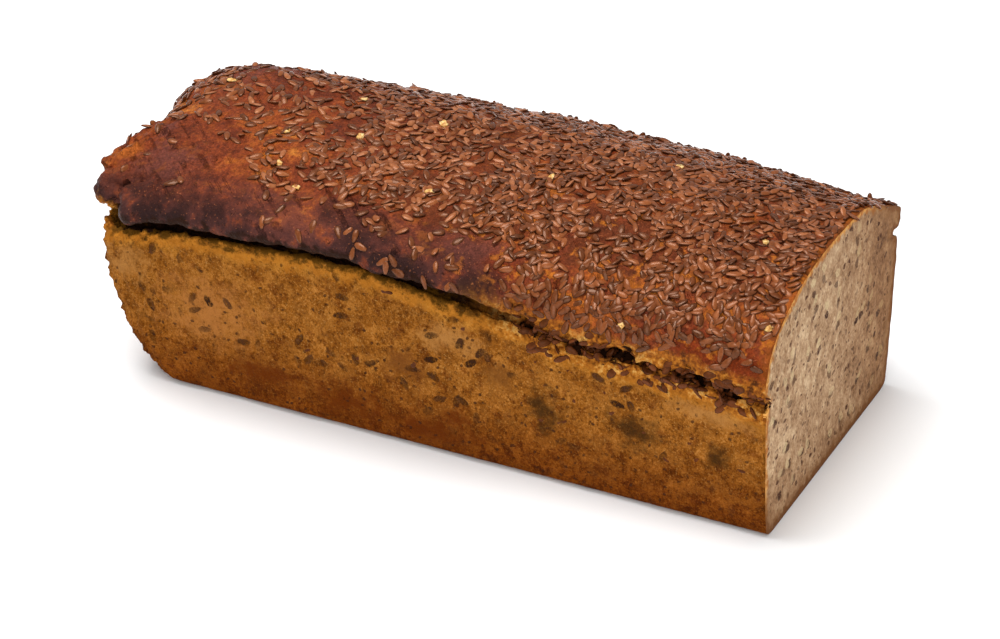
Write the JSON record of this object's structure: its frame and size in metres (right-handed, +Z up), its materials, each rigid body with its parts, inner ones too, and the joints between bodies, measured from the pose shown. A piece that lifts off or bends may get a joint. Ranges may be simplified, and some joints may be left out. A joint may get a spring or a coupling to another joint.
{
  "type": "rye loaf",
  "caption": "Long tin-baked rye loaf with a domed seeded top crust that overhangs the straight pale sides, torn at the uncut end and sliced flat at the other.",
  "frame": {"origin": "under the middle of the loaf's outline box, on the surface that its base stands on", "axes": "+X along the loaf to the cut face, -Y to the front long side, +Z up from the base to the crown"},
  "size_m": [0.2456, 0.1196, 0.0849],
  "materials": {
    "rye_bread": "baked crust, satin on top and matte on the tin sides, with an open matte crumb on the cut face",
    "linseed": "satin seed husk",
    "grain_flake": "matte toasted grain"
  },
  "bodies": {
    "root": {"rye_loaf": "rye_bread"}
  },
  "joints": []
}
